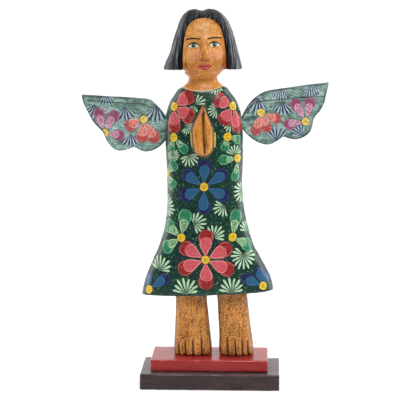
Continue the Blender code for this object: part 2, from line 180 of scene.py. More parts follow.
# Sanding takes the net's ripples off: long on the dress and legs, short where there is fine carving.
figure_mesh = carving_blank("figure", 1.13 * mm)
at = places(figure_mesh)
plain_dress = dress_depth(at) > 3.2 * mm
plain_legs = (at[:, 2] < hem_height - 3 * mm) & (at[:, 2] > 24 * mm)
figure_mesh.verts.ensure_lookup_table()
sand(figure_mesh, [figure_mesh.verts[i] for i in np.flatnonzero(plain_dress | plain_legs)], 26)
sand(figure_mesh, figure_mesh.verts, 3)


def refine(bm, chosen):
    """Cuts each face whose corners are all chosen into four, where the knife works finest."""
    bm.verts.ensure_lookup_table()
    wanted = set(np.flatnonzero(chosen).tolist())
    edges = [e for e in bm.edges if e.verts[0].index in wanted and e.verts[1].index in wanted]
    bmesh.ops.subdivide_edges(bm, edges=edges, cuts=1, use_grid_fill=True, smooth=0.6)
    bm.verts.index_update()


at = places(figure_mesh)
head = head_places(at)
face_front = (hair_depth(head) < 0.5 * mm) & (head[:, 1] < -opening_floor) & (head[:, 2] > 279 * mm)
toes = (at[:, 2] < 22 * mm) & (at[:, 1] < -6 * mm)
refine(figure_mesh, face_front | toes)

# The knife work. Each cut moves the surface along its own normal or straight back into the wood.
eye_height = 312.6 * mm
eye_side = 10.1 * mm
brow_height = 319.5 * mm
nose_base = 298.9 * mm
mouth_height = 292.0 * mm
chin_height = 278.3 * mm
lock_count = 26
strands_in_lock = 3

figure_mesh.normal_update()
at = places(figure_mesh)
head = head_places(at)
x, y, z = head.T
front = np.clip((-y - 10 * mm) / (4 * mm), 0, 1) * (hair_depth(head) < 0)
aside = np.abs(x)

# Eyes: a lid fold above, an eyeball between the lids and a shallow hollow below.
eye_x = (aside - eye_side) / (5.6 * mm)
eye_z = (z - eye_height) / mm
lids = np.clip(1 - eye_x**2, 0, 1)
ball = 0.9 * mm * np.sqrt(lids) * hill(eye_z, 2.4)
fold = -0.7 * mm * lids * hill(eye_z - 3.6, 0.9) - 0.4 * mm * lids * hill(eye_z + 3.0, 0.9)
# Mouth: two lips with the line between them, and a fold to the chin.
mouth_x = np.clip(1 - (aside / (7.6 * mm)) ** 2, 0, 1)
mouth_z = (z - mouth_height) / mm
lips = 0.8 * mm * mouth_x * (hill(mouth_z - 1.5, 1.3) + 1.15 * hill(mouth_z + 1.9, 1.6))
lip_line = -0.8 * mm * mouth_x * hill(mouth_z, 0.6)
chin_fold = -0.5 * mm * hill(z - mouth_height + 5.4 * mm, 1.4 * mm) * hill(aside, 6 * mm)
chin_cut_and_shadow = hill(z - chin_height, 0.6 * mm) * hill(aside, 11 * mm) * (y < -8 * mm)
# Nose: nostril wings, and the hollow above the upper lip.
wings_of_nose = 0.9 * mm * hill(aside - 4.4 * mm, 1.6 * mm) * hill(z - nose_base - 1.6 * mm, 2.0 * mm)
philtrum = -0.35 * mm * hill(x, 1.2 * mm) * hill(z - (nose_base + mouth_height) / 2 - 0.5 * mm, 2.0 * mm)
face_rise = (ball + fold + lips + lip_line + chin_fold + wings_of_nose + philtrum) * front - 0.5 * mm * chin_cut_and_shadow

# Hair: strands combed from the parting down to the hem, each lock with a cut on either side.
around = np.arctan2(y, x)
lock = np.cos(lock_count * around)
strand = np.cos(lock_count * strands_in_lock * around + 2.2 * np.sin(lock_count * around))
hair = np.clip(hair_depth(head) / (1.5 * mm), 0, 1)
towards_hem = np.clip((block_height - z) / (25 * mm), 0, 1)
hair_rise = hair * towards_hem * (0.22 * mm * strand - 0.55 * mm * np.clip(-lock, 0, 1) ** 4)

# Hands: the cut between the palms. Toes: four V cuts that run out upwards.
palms = np.clip(hands_depth(at) / (1.0 * mm), 0, 1)
palm_cut = hill(at[:, 0] + 0.2 * mm, 0.8 * mm) * palms
hands_rise = -1.3 * mm * palm_cut
toe_cut_and_shade = np.zeros(len(at))
for side, middle in leg_middles.items():
    inward = 1 if side == "left" else -1
    done = 0.0
    for number, share in enumerate(toe_shares):
        done += share
        across = at[:, 0] - middle - inward * leg_half_widths[side] * (1 - 2 * done)
        top = (21.5 - 1.3 * number) * mm
        run_out = np.clip((top - at[:, 2]) / (11 * mm), 0, 1)
        width = (0.55 + 0.55 * run_out) * mm
        toe_cut_and_shade = np.maximum(toe_cut_and_shade, hill(across, width) * np.minimum(1, run_out * 2.5))
toe_cut_and_shade *= at[:, 1] < 0
toes_rise = -1.5 * mm * toe_cut_and_shade

# Neckline: the dress stands a little proud of the skin. The whole figure keeps a hand-carved unevenness.
depth_in_dress = dress_depth(at)
edge_rise = 0.35 * mm * np.clip(depth_in_dress / (0.6 * mm), 0, 1) * (at[:, 2] > 100 * mm)
uneven = np.array([noise.noise(Vector(place) * 28.0) for place in at]) * 0.35 * mm
knife = np.array([noise.noise(Vector((px * 150, py * 150, pz * 38))) for px, py, pz in at]) * 0.42 * mm
bare_wood = (at[:, 2] < hem_height - 1 * mm) | (hands_depth(at) > 0.5 * mm)
rise = face_rise + hair_rise + hands_rise + toes_rise + edge_rise + uneven + knife * bare_wood
# The hair on the viewer's right hangs a little lower, so that its hem ends level with the left one, and the crown
# swells on both sides of the parting.
in_hair = hair_depth(head) > -1 * mm
lift = -2.4 * mm * np.clip(x / (38 * mm), 0, 1) * hill(z - hair_hem_height, 9 * mm) * in_hair
lift += 1.5 * mm * np.clip(aside / (6 * mm), 0, 1) * np.clip((z - 332 * mm) / (12 * mm), 0, 1)
# The carver's lines swing a little wide of the plain solid's. At each height, in millimetres towards the viewer's
# right: the left edge, the two places between which the middle or one leg's inner side lies, and the right edge.
# The face between the hair moves as one, so its own outline stays as it was designed.
swings = np.array([
    (0, -0.8, 0.4, -0.3, 1.4), (18, -1.0, 0.4, -0.6, 1.0), (38, -0.9, 0.5, -2.3, 0.3), (62.5, -1.6, 0.9, -5.2, 0.0),
    (64, -2.4, -1.0, -0.6, 0.0), (70, -3.6, -1.6, -0.2, 1.8), (78, -4.5, -1.8, 0.2, 3.1), (90, -4.9, -2.0, 0.0, 2.3),
    (100, -4.5, -2.0, -0.5, 1.2), (107, -3.4, -2.0, -1.2, -0.8), (130, -2.3, -1.8, -1.3, -1.1),
    (158, -2.9, -2.1, -1.7, -1.4), (174, -2.5, -2.2, -1.9, -1.8), (190, -2.0, -1.5, -0.9, -0.4),
    (206, -2.4, -1.4, -0.9, 0.4), (262, -3.0, -1.4, -0.6, 0.5),
    (268, -4.2, -1.6, -0.3, 2.0), (275, -1.9, -0.8, 0.4, 1.1), (291, -1.5, 1.2, 1.2, 1.5), (298, -1.0, 1.2, 1.2, 2.2),
    (306, 0.7, 1.2, 1.2, 2.8), (316, 0.9, 1.2, 1.2, 3.4), (330, 2.2, 1.2, 1.2, 3.8), (338, 1.2, 1.2, 1.2, 3.6),
    (343, 0.0, 1.0, 1.5, 3.4), (347, -1.5, 0.0, 1.6, 3.0),
])
levels = np.arange(0, 350, 3) * mm
slices = [at[np.abs(at[:, 2] - level) < 2 * mm, 0] for level in levels]
ends = np.array([(part.min(), part.max()) for part in slices])
left_end, right_end = (np.interp(at[:, 2], levels, end) for end in ends.T)
off = (2 * at[:, 0] - left_end - right_end) / (right_end - left_end)
inner = np.interp(at[:, 2] / mm, (62.5, 64), (0.1, 0.6))
left, left_inner, right_inner, right = (np.interp(at[:, 2] / mm, swings[:, 0], column) for column in swings[:, 1:].T)
swing = left_inner + (right_inner - left_inner) * (off / inner + 1) / 2
swing = np.where(off < -inner, left + (left_inner - left) * (off + 1) / (1 - inner), swing)
swing = np.where(off > inner, right + (right_inner - right) * (1 - off) / (1 - inner), swing) * mm
by_hands = np.clip(hands_depth(at) / (3 * mm) + 1, 0, 1)
swing += by_hands * (0.9 * mm * hill(at[:, 0], 5 * mm) - 1.2 * mm * np.clip(at[:, 0] / (9 * mm), 0, 1))


def carve(bm, rise, across, up):
    """Moves every vertex along its own normal, then to the viewer's right and up."""
    for vert, step, aside_step, up_step in zip(bm.verts, rise, across, up):
        vert.co += vert.normal * step
        vert.co.x += aside_step
        vert.co.z += up_step
    bm.normal_update()


def finished(bm, name):
    """The piece as an object at the origin, with its place in its mesh."""
    piece = bpy.data.objects.new(name, bpy.data.meshes.new(name))
    bm.to_mesh(piece.data)
    bm.free()
    piece.data.shade_smooth()
    bpy.context.scene.collection.objects.link(piece)
    return piece


carve(figure_mesh, rise, swing, lift)
turned_aside = np.abs([vert.normal.x for vert in figure_mesh.verts])
figure = finished(figure_mesh, "carved_figure")

# Where each colour goes: distances in millimetres to the edges of hair and dress, the cuts that dark paint settles in
# along with painted shade (between the toes, under the chin, below the hem and down the sides of the legs), and the
# face's own measure from between the eyes.
# Painted shade: the legs darker on their sides where they turn away from the front, and just below the hem of the
# dress.
leg_side_shade = np.clip((turned_aside - 0.62) / 0.3, 0, 1) * (at[:, 2] < hem_height) * 0.62
hem_shade = hill(at[:, 2] - hem_height, 2.2 * mm) * (at[:, 2] < hem_height) * 0.5
cut = np.maximum.reduce([palm_cut, toe_cut_and_shade, leg_side_shade, hem_shade, 0.7 * chin_cut_and_shadow])


def keep(mesh, name, values, domain="POINT"):
    """Stores a number or a vector on every vertex or corner for the paint to read."""
    values = np.asarray(values, np.float32)
    if values.ndim == 1:
        mesh.attributes.new(name, "FLOAT", domain).data.foreach_set("value", values)
    else:
        mesh.attributes.new(name, "FLOAT_VECTOR", domain).data.foreach_set("vector", values.ravel())


keep(figure.data, "hair_depth", hair_depth(head) / mm)
keep(figure.data, "dress_depth", depth_in_dress / mm)
keep(figure.data, "cut", cut)
keep(figure.data, "face", np.stack([x, z - eye_height, np.clip(-y - 8 * mm, 0, 4 * mm)], axis=1) / mm)
keep(figure.data, "combed", np.stack([around * 20, z / mm * 0.02, lock], axis=1))
hair_levels = np.arange(286, 348, 3) * mm
hair_half_widths = [aside[np.abs(z - level) < 2 * mm].max() for level in hair_levels]
keep(figure.data, "hair_side", aside / np.interp(z, hair_levels, hair_half_widths))


# The flowers and leaves are painted freehand on the dried ground colour. Each petal, leaf fan and yellow
# heart is given its place on the wood, and every face of the net learns which stroke lies nearest to it.
flower_kinds = ("red", "blue", "green", "coral", "mauve")


def girth_of_dress(at):
    """Distance round the dress from the middle of its front, and from the middle of its back."""
    level = np.arange(60, 276, 4) * mm
    rows = []
    for height in level:
        near = (np.abs(at[:, 2] - height) < 1.5 * mm) & (depth_in_dress > 0.2 * mm)
        if near.sum() > 40:
            low, high = at[near, 0].min(), at[near, 0].max()
            rows.append((height, (high - low) / 2, (high + low) / 2, at[near, 1].max()))
    heights, half_widths, middles, depths = np.array(rows).T
    turn = np.linspace(0, math.pi, 121)
    square = 2 / 2.5
    c, s = np.cos(turn), np.sin(turn)
    px = np.outer(half_widths, np.abs(s) ** square)
    py = np.outer(depths, -np.sign(c) * np.abs(c) ** square)
    steps = np.hypot(np.diff(px, axis=1), np.diff(py, axis=1))
    lengths = np.concatenate([np.zeros((len(rows), 1)), np.cumsum(steps, axis=1)], axis=1)

    def along_girth(x, y, z):
        wide = np.interp(z, heights, half_widths)
        deep = np.interp(z, heights, depths)
        off = (x - np.interp(z, heights, middles)) / wide
        angle = np.arctan2(np.abs(off) ** (1 / square), np.abs(y / deep) ** (1 / square))
        angle = np.where(y < 0, angle, math.pi - angle)
        column = np.clip(angle / math.pi * 120, 0, 119.999)
        row = np.clip(np.interp(z, heights, np.arange(len(heights))), 0, len(heights) - 1.001)
        i, j = row.astype(int), column.astype(int)
        fi, fj = row - i, column - j
        top = lengths[i, j] * (1 - fj) + lengths[i, j + 1] * fj
        bottom = lengths[i + 1, j] * (1 - fj) + lengths[i + 1, j + 1] * fj
        around = top * (1 - fi) + bottom * fi
        half = np.interp(z, heights, lengths[:, -1])
        return np.sign(off) * around, -np.sign(off) * (half - around), wide

    return along_girth


at[:, 0] += swing
along_girth = girth_of_dress(at)


def flat_from_front(x, height):
    """A place seen from straight in front, laid out flat on the dress."""
    far_front = np.array([-1.0 * mm])
    x, height = np.array([x * mm]), np.array([height * mm])
    for closer in range(12):
        wide = along_girth(x, far_front, height)[2]
        off = np.clip(np.abs(x / wide), 0, 0.98)
        far_front = -20 * mm * (1 - off**2.5) ** 0.4
    return along_girth(x, far_front, height)[0][0] / mm


def lay_strokes(mesh, name, flat_sides, strokes):
    """Gives every corner its place on the nearest stroke: along it, across it, and the stroke's own number.

    A stroke is (side, u, v, angle, length, half width, number). A face measures to the middle of a stroke."""

    def numbers(items, name):
        read = np.empty(len(items), np.int32)
        items.foreach_get(name, read)
        return read

    corner_vertex = numbers(mesh.loops, "vertex_index")
    starts, totals = numbers(mesh.polygons, "loop_start"), numbers(mesh.polygons, "loop_total")
    face_of_corner = np.repeat(np.arange(len(starts)), totals)
    best = np.full(len(starts), 1e9)
    values = np.full((len(corner_vertex), 3), 9.0)
    for side, u, v, angle, length, half_width, number in strokes:
        flat = flat_sides[side][corner_vertex] / mm
        centre = np.add.reduceat(flat, starts, axis=0) / totals[:, None]
        spread = np.maximum.reduceat(flat[:, 0], starts) - np.minimum.reduceat(flat[:, 0], starts)
        c, s = math.cos(math.radians(angle)), math.sin(math.radians(angle))
        along = ((centre[:, 0] - u) * c + (centre[:, 1] - v) * s) / length
        across = (-(centre[:, 0] - u) * s + (centre[:, 1] - v) * c) / half_width
        far = ((along - 0.55) / 0.55) ** 2 + across**2 + np.where(spread > 8, 1e6, 0)
        nearer = far < best
        best[nearer] = far[nearer]
        mine = nearer[face_of_corner]
        du, dv = flat[mine, 0] - u, flat[mine, 1] - v
        values[mine, 0] = (du * c + dv * s) / length
        values[mine, 1] = (-du * s + dv * c) / half_width
        values[mine, 2] = number
    keep(mesh, name, values, "CORNER")


def paint_strokes(mesh, flat_sides, flowers, fans, radius, flat=lambda side, x, z: x):
    """Lays petals, yellow hearts and leaf fans.

    A petal's number holds its kind and slant, a fan's holds how many leaves it has and half of its spread."""
    petals, hearts, leaves = [], [], []
    for side, row in flowers.items():
        for kind, x, z, half_width, sizes in row:
            u = flat(side, x, z)
            hearts.append((side, u - 0.55 * radius, z, 0.0, radius, radius, 0.0))
            for angle, length in sizes:
                number = (flower_kinds.index(kind) + 0.5 + 0.3 * math.sin(7.0 * angle + x)) / len(flower_kinds)
                petals.append((side, u, z, angle, length, half_width, number))
    for side, row in fans.items():
        for x, z, angle, length, count, spread in ((*fan, 1.0)[:6] for fan in row):
            leaves.append((side, flat(side, x, z), z, angle, length, length, count + 0.5 * spread))
    for name, strokes in (("petal", petals), ("leaf", leaves), ("heart", hearts)):
        lay_strokes(mesh, name, flat_sides, strokes)


# Under each side: colour, place in millimetres across and up, half width of a petal, and each petal's angle
# and length.
dress_flowers = {
    "front": [
        ("red", -3.6, 100.1, 7.6, [(88, 29.7), (26, 29.5), (-26, 31), (-92, 29.9), (-159, 30), (148, 29.4)]),
        ("blue", -2.3, 172.8, 6.6, [(88, 26.9), (33, 26.9), (-27, 26.8), (-92, 27), (-157, 26.9), (143, 26.7)]),
        ("red", -30.2, 252.9, 7.8, [(31, 24.2), (-31, 24.6), (-91, 26)]),
        ("red", 31, 251.4, 7.6, [(155, 21.6), (-128, 21.5), (-76, 27)]),
        ("green", -30.5, 222.6, 4.8, [(-47, 20.5), (-108, 15)]),
        ("green", 23.3, 221.7, 4.8, [(-18, 15.5), (-106, 14.5)]),
        ("green", 32.7, 199.6, 5, [(-178, 20.4), (-98, 23.1)]),
        ("green", -37.2, 186.4, 6.2, [(40, 17.5), (-54, 18.5)]),
        ("green", -25.3, 122.5, 7, [(79, 28.7), (141, 25), (-148, 24.2)]),
        ("green", 23.3, 121.4, 6.7, [(78, 27.6), (-28, 25.5)]), ("blue", -57.4, 70, 5.9, [(96, 18), (33, 26)]),
        ("blue", 52.1, 70.6, 6, [(154, 24.5), (104, 19), (62, 15)]),
    ],
    "back": [
        ("red", 0, 104, 8, [(angle, 29) for angle in range(-90, 211, 60)]),
        ("blue", 0, 182, 6.6, [(angle, 27) for angle in range(-90, 211, 60)]),
        ("green", -26, 232, 5.4, [(60, 21), (-40, 21), (-100, 20)]),
        ("green", 26, 232, 5.4, [(120, 21), (220, 21), (280, 20)]),
        ("green", -42, 132, 5.4, [(80, 24), (200, 22)]), ("green", 42, 132, 5.4, [(100, 24), (-20, 22)]),
    ],
}
# Under each side: the point that the leaves spring from, the fan's angle, its longest leaf and its leaves.
dress_fans = {
    "front": [
        (-9.4, 254.8, 34, 11.5, 4), (-10.2, 254.2, -108, 9.5, 5), (14.6, 248.8, 195, 10, 7),
        (-18.7, 232.9, -20, 8, 11), (27, 235.6, -96, 10, 7), (17.5, 272.5, -95, 10, 8), (-16.4, 205.3, -76, 12, 8),
        (-31.6, 205.6, -92, 8, 15), (29.4, 202.8, 88, 10.6, 7), (-42.1, 154, 70, 12, 5), (-42.4, 152, -10, 12.5, 7),
        (39.9, 166, 188, 13.5, 8), (17.2, 153, -146, 12, 7), (-13.8, 136.1, 20, 13, 9), (4.2, 122, 52, 13.4, 7),
        (40.4, 125.4, 108, 12, 6), (33.6, 102.8, -92, 14.6, 13), (-46.4, 89.6, 74, 15, 8), (-21.8, 66.3, 88, 16.2, 8),
        (17.8, 65.9, 88, 15.6, 8),
    ],
    "back": [
        (0, 226, 90, 11, 9), (-34, 88, 60, 13, 8), (34, 88, 120, 13, 8), (-30, 66, 90, 14, 8), (30, 66, 90, 14, 8),
        (0, 144, -90, 11, 9), (-34, 168, 0, 10, 9), (34, 168, 180, 10, 9), (0, 258, -90, 11, 8),
        (-58, 74, 110, 12, 7), (58, 74, 70, 12, 7), (-34, 196, 60, 10, 8), (34, 196, 120, 10, 8),
    ],
}
# Both narrow sides carry the same few strokes, measured from the middle of the side.
for side, back in (("left", -1), ("right", 1)):
    dress_flowers[side] = [
        ("green", 10 * back, 196, 4.8, [(90, 15), (-30, 12), (210, 12)]),
        ("blue", 13 * back, 116, 5, [(90, 16), (-30, 12), (210, 12)]),
    ]
    dress_fans[side] = [
        (0, 246, 90, 9, 8), (0, 240, -90, 9, 8), (8 * back, 166, -90, 9, 8), (8 * back, 146, 90, 9, 8),
        (10 * back, 84, 90, 10, 8), (0, 214, -90, 8, 8),
    ]


def on_dress(side, x, z):
    return flat_from_front(x, z) if side == "front" else x


front_girth, back_girth, wide = along_girth(at[:, 0], at[:, 1], at[:, 2])
side_middle = (np.abs(front_girth) + np.abs(back_girth)) / 2
elsewhere = 1000 * mm
rounds = {
    "left": np.where(front_girth < 0, front_girth + side_middle, elsewhere),
    "right": np.where(front_girth > 0, front_girth - side_middle, elsewhere),
    "front": front_girth,
    "back": back_girth,
}
dress_sides = {side: np.stack([across, at[:, 2]], axis=1) for side, across in rounds.items()}
paint_strokes(figure.data, dress_sides, dress_flowers, dress_fans, 4.3, on_dress)


def shade(r, g, b):
    """A colour as seen on a paint card, 0 to 255, as linear light."""
    linear = [v / 255 / 12.92 if v <= 10 else ((v / 255 + 0.055) / 1.055) ** 2.4 for v in (r, g, b)]
    return (*linear, 1)


class Value:
    """A number or colour in a paint. Every sign between two of them becomes a Math node."""

    def __init__(self, brush, socket):
        self.brush, self.socket = brush, socket

    def __add__(self, other):
        return self.brush.maths("ADD", self, other)

    def __sub__(self, other):
        return self.brush.maths("SUBTRACT", self, other)

    def __rsub__(self, other):
        return self.brush.maths("SUBTRACT", other, self)

    def __mul__(self, other):
        return self.brush.maths("MULTIPLY", self, other)

    def __truediv__(self, other):
        return self.brush.maths("DIVIDE", self, other)

    def __lt__(self, other):
        return self.brush.maths("LESS_THAN", self, other)

    def __gt__(self, other):
        return self.brush.maths("GREATER_THAN", self, other)

    def __abs__(self):
        return self.brush.maths("ABSOLUTE", self)

    def rise(self, low, high, to_low=0, to_high=1):
        """A soft step from one number to another, as this one goes from low to high."""
        return self.brush.add("MapRange", (self, low, high, to_low, to_high), interpolation_type="SMOOTHSTEP")

    def between(self, low, high, soft=0.22):
        return (self - low).rise(-soft, soft) * (high - self).rise(-soft, soft)

    def cover(self, colour, share):
        """This colour with another laid over it."""
        return self.brush.add("Mix", {0: share, 6: self, 7: colour}, 2, data_type="RGBA")

    def ramp(self, stops, stepped=False):
        coloured = self.brush.add("ValToRGB", [self])
        ramp = coloured.socket.node.color_ramp
        ramp.interpolation = "CONSTANT" if stepped else "LINEAR"
        while len(ramp.elements) < len(stops):
            ramp.elements.new(0.5)
        for element, (position, colour) in zip(ramp.elements, stops):
            element.position = position
            element.color = colour if len(colour) == 4 else shade(*colour)
        return coloured

    def curve(self, points):
        shaped = self.brush.add("FloatCurve", {"Value": self})
        mapping = shaped.socket.node.mapping
        line = mapping.curves[0].points
        line[0].location, line[-1].location = points[0], points[-1]
        for point in points[1:-1]:
            line.new(*point)
        mapping.update()
        return shaped


class Brush:
    """Adds the nodes of one paint."""

    def __init__(self, tree):
        self.tree = tree

    def feed(self, socket, value):
        """Sets or links a socket. Three numbers for a colour are read as on a paint card."""
        if isinstance(value, Value):
            self.tree.links.new(value.socket, socket)
        elif socket.type == "RGBA" and len(value) == 3:
            socket.default_value = shade(*value)
        else:
            socket.default_value = value

    def add(self, kind, values=(), output=0, **settings):
        node = self.tree.nodes.new("ShaderNode" + kind)
        for name, value in settings.items():
            setattr(node, name, value)
        for key, value in values.items() if isinstance(values, dict) else enumerate(values):
            self.feed(node.inputs[key], value)
        return Value(self, node.outputs[output])

    def maths(self, operation, *values):
        return self.add("Math", values, operation=operation)

    def larger(self, first, second):
        return self.maths("MAXIMUM", first, second)

    def read(self, name, output="Fac"):
        return self.add("Attribute", output=output, attribute_name=name)

    def place(self, x=1, y=1, z=1):
        """The place on the wood, stretched along a side whose number is below one."""
        place = self.add("TexCoord", output="Object")
        if (x, y, z) == (1, 1, 1):
            return place
        return self.add("VectorMath", (place, (x, y, z)), operation="MULTIPLY")

    def split(self, vector):
        return [Value(self, socket) for socket in self.add("SeparateXYZ", [vector]).socket.node.outputs]

    def grain(self, place, scale, detail=3, roughness=0.55, distortion=0):
        return self.add("TexNoise", {
            "Vector": place, "Scale": scale, "Detail": detail, "Roughness": roughness, "Distortion": distortion
        })

    def dots(self, place, scale):
        return self.add("TexVoronoi", {"Vector": place, "Scale": scale}, "Distance")


petal_shape = [
    (0, 0.05), (0.2, 0.2), (0.35, 0.42), (0.5, 0.7), (0.64, 0.94), (0.76, 1), (0.88, 0.88), (0.96, 0.55), (1, 0),
]
leaf_shape = [(0, 0), (0.15, 0.10), (0.35, 0.42), (0.6, 0.84), (0.8, 1), (0.93, 0.8), (1, 0)]
# One for each kind of flower: red, blue, green, coral and mauve.
outer_petals = [(148, 36, 38), (30, 30, 84), (38, 124, 86), (196, 78, 74), (156, 74, 112)]
inner_petals = [(208, 92, 100), (36, 94, 128), (136, 188, 138), (244, 146, 138), (226, 156, 190)]
petal_rims = [(232, 150, 150), (62, 110, 152), (218, 232, 196), (250, 200, 188), (240, 200, 214)]
edge_lines = [(206, 92, 92), (56, 62, 130), (126, 196, 148), (214, 130, 122), (198, 126, 160)]
inner_lengths = [0.74, 0.84, 0.66, 0.72, 0.76]
inner_widths = [0.84, 0.78, 0.62, 0.78, 0.66]
speckled = [0.25, 0.2, 0.85, 0.45, 0.55]
black = (0, 0, 0, 1)
cream = (1, 0.9, 0.8, 1)
umber = (0.10, 0.05, 0.01, 1)
golden_share = 0.618


def painted_flowers():
    """The strokes as one group: it lays leaves, petals and hearts over the ground colour that it is given."""
    group = bpy.data.node_groups.new("painted_flowers", "ShaderNodeTree")
    for kind, names in (("Color", ("ground", "leaf", "gap", "heart")),
                        ("Float", ("gap_share", "leaf_angle", "leaf_width", "outline"))):
        for name in names:
            group.interface.new_socket(name, in_out="INPUT", socket_type="NodeSocket" + kind)
    group.interface.new_socket("colour", in_out="OUTPUT", socket_type="NodeSocketColor")
    group.interface.new_socket("paint", in_out="OUTPUT", socket_type="NodeSocketFloat")
    b = Brush(group)
    given = {socket.name: Value(b, socket) for socket in group.nodes.new("NodeGroupInput").outputs}
    out = group.nodes.new("NodeGroupOutput")
    place = b.place()
    wobble = b.grain(place, 300, 4, 0.6) - 0.5
    fine = b.grain(place, 800, 2)

    # Leaves: a fan of thin strokes pressed out of a flat brush, longest in the middle.
    x, y, fan = b.split(b.read("leaf", "Vector"))
    leaves = b.maths("FLOOR", fan)
    leaf_angle = (fan - leaves) * 2 * given["leaf_angle"]
    x = wobble * 0.10 + x
    y = wobble * 0.10 + y
    far = b.maths("SQRT", x * x + y * y)
    half_count = leaves * 0.5
    count = b.maths("ARCTAN2", y, x) / leaf_angle + half_count
    leaf_number = b.maths("FLOOR", count)
    off_angle = (count - leaf_number - 0.5) * leaf_angle
    outermost = abs(leaf_number + 0.5 - half_count) / half_count
    unlike = b.maths("FRACT", (leaf_number + leaves) * golden_share)
    reach = unlike * -0.14 + (outermost * outermost * -0.24 + 1.06)
    along = far * b.maths("COSINE", off_angle) / reach
    across = abs(far * b.maths("SINE", off_angle))
    width = along.curve(leaf_shape) * given["leaf_width"] * (leaf_angle / given["leaf_angle"] * 0.6 + 0.4)
    leaf_edge = width - across
    in_fan = (count > 0) * (count - leaves < 0)
    in_reach = in_fan * (along < 1)
    on_leaf = leaf_edge.rise(-0.012, 0.018) * in_reach * fine.rise(0.28, 0.55, 0.62, 1)
    near_leaf = leaf_edge.rise(-0.10, -0.02) * in_reach * given["outline"]
    in_gap = in_fan * (unlike * 0.3 + far).rise(1.05, 0.85) * given["gap_share"]
    colour = given["ground"].cover(given["gap"], near_leaf).cover(given["gap"], in_gap)
    colour = colour.cover(given["leaf"], on_leaf)

    # Petals: a dark stroke, then a lighter and shorter one on it, then a thin light rim.
    t, s, kind = b.split(b.read("petal", "Vector"))

    def by_kind(values):
        whole = [v if isinstance(v, tuple) else (v, v, v, 1) for v in values]
        return kind.ramp([(index / len(whole), value) for index, value in enumerate(whole)], stepped=True)

    t = wobble * 0.06 + t
    s = wobble * 0.24 + s
    slant = b.maths("FRACT", kind * float(len(flower_kinds))) - 0.5
    s_inner = abs(slant * t * 0.55 + s)
    s = abs(s)
    streaks = b.grain(b.add("CombineXYZ", (t * 2, s * 8, kind * 9)), 1.6, 4)
    patchy = b.grain(place, 190, 4, 0.6)
    forward = (t > 0) * (t < 1.02)
    outer_edge = t.curve(petal_shape) - s
    on_outer = outer_edge.rise(-0.02, 0.08) * forward
    near_outer = outer_edge.rise(-0.20, -0.04) * forward
    outer = by_kind(outer_petals)
    darker = outer.cover(black, 0.55)
    outer = outer.cover(darker, streaks.rise(0.38, 0.66, 0, 0.6))
    outer = outer.cover(outer.cover(cream, 0.25), patchy.rise(0.52, 0.70, 0, 0.35))
    outer = outer.cover(by_kind(edge_lines), outer_edge.rise(0.22, 0.10) * patchy.rise(0.34, 0.50, 0.15, 0.9))
    t_inner = t / (slant * 0.16 + by_kind(inner_lengths))
    inner_forward = forward * (t_inner < 1.02)
    inner_edge = t_inner.curve(petal_shape) - s_inner / by_kind(inner_widths)
    on_inner = inner_edge.rise(-0.02, 0.08) * inner_forward
    inner = by_kind(inner_petals)
    inner = inner.cover(inner.cover(outer, 0.6), streaks.rise(0.35, 0.7, 0, 0.55))
    inner = inner.cover(darker.cover(umber, 0.5), b.grain(place, 620, 2).rise(0.50, 0.57) * by_kind(speckled))
    inner = inner.cover(by_kind(petal_rims), inner_edge.rise(0.24, 0.08) * patchy.rise(0.35, 0.5, 0.35, 0.9))
    outer = outer.cover(darker, inner_edge.rise(-0.16, -0.03) * inner_forward * 0.5)
    colour = colour.cover(given["gap"], near_outer * given["outline"])
    colour = colour.cover(outer, on_outer).cover(inner, on_inner)

    # Hearts: a round yellow dab with brown dots and a thin dark outline.
    hx, hy = b.split(b.read("heart", "Vector"))[:2]
    hx = hx - 0.55
    off = wobble * 0.5 + b.maths("SQRT", hx * hx + hy * hy)
    on_heart = off.rise(1.02, 0.9)
    yellow = given["heart"].cover((236, 208, 82), off.rise(0.3, 1, 0, 0.5))
    yellow = yellow.cover((126, 84, 20), b.dots(place, 700).rise(0.46, 0.30) * off.rise(0.9, 0.5, 0, 0.85))
    colour = colour.cover(given["gap"], off.rise(1.28, 1.12) * 0.6).cover(yellow, on_heart)
    b.feed(out.inputs["colour"], colour)
    b.feed(out.inputs["paint"], on_inner * 0.5 + b.larger(b.larger(on_leaf * 0.7, on_outer), on_heart * 1.6))
    return group


flowers_group = painted_flowers()


def lay_flowers(b, **given):
    """The flowers over a ground colour, and how thick their paint lies."""
    node = b.tree.nodes.new("ShaderNodeGroup")
    node.node_tree = flowers_group
    for name, value in given.items():
        b.feed(node.inputs[name], value)
    return Value(b, node.outputs["colour"]), Value(b, node.outputs["paint"])


def new_paint(name):
    """A material, its brush and the sockets of its shader."""
    material = bpy.data.materials.new(name)
    material.use_nodes = True
    return material, Brush(material.node_tree), material.node_tree.nodes["Principled BSDF"].inputs


def varnish(b, shader, colour, roughness, gloss, coat, coat_roughness, height, depth):
    """Ends a paint: its colour, its shine and how it stands up from the wood."""
    values = {
        "Base Color": colour, "Roughness": roughness, "Specular IOR Level": gloss, "Coat Weight": coat,
        "Coat Roughness": coat_roughness, "Normal": b.add("Bump", {"Distance": depth, "Height": height}),
    }
    for name, value in values.items():
        b.feed(shader[name], value)


